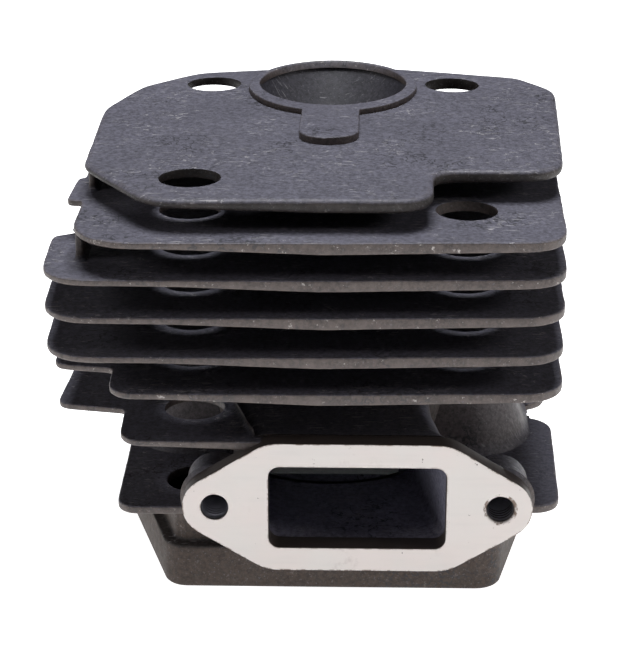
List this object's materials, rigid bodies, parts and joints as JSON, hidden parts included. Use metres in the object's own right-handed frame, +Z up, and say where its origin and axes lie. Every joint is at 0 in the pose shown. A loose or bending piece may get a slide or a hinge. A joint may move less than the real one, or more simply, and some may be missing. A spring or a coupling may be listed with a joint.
{
  "type": "two-stroke engine cylinder",
  "caption": "Air-cooled two-stroke engine cylinder with integral head, cooling fins, flanged exhaust port and leaning spark plug well.",
  "frame": {"origin": "on the bore axis at the flat underside that seats on the crankcase", "axes": "+Z up along the bore towards the head, -Y towards the exhaust flange, +X to the right seen from the exhaust side"},
  "size_m": [0.1077, 0.1101, 0.0879],
  "materials": {
    "coated_casting": "satin dark coating over cast aluminium",
    "base_casting": "matt dark coating over cast aluminium",
    "machined_face": "bare milled aluminium",
    "bore_lining": "honed hard lining"
  },
  "bodies": {
    "root": {"base_block": "base_casting", "base_plate": "coated_casting", "barrel_wall": "coated_casting", "head_dome": "coated_casting", "plug_well": "coated_casting", "plug_collar": "coated_casting", "fin_1": "coated_casting", "fin_2": "coated_casting", "fin_3": "coated_casting", "fin_4": "coated_casting", "fin_5": "coated_casting", "fin_6": "coated_casting", "fin_7": "coated_casting", "exhaust_duct": "coated_casting", "exhaust_boss_left": "coated_casting", "exhaust_boss_right": "coated_casting", "transfer_left": "coated_casting", "transfer_right": "coated_casting", "intake_duct": "coated_casting", "edge_rib_upper": "coated_casting", "edge_rib_lower": "coated_casting", "bore_lining": "bore_lining", "exhaust_flange": "machined_face", "intake_flange": "machined_face"}
  },
  "joints": []
}
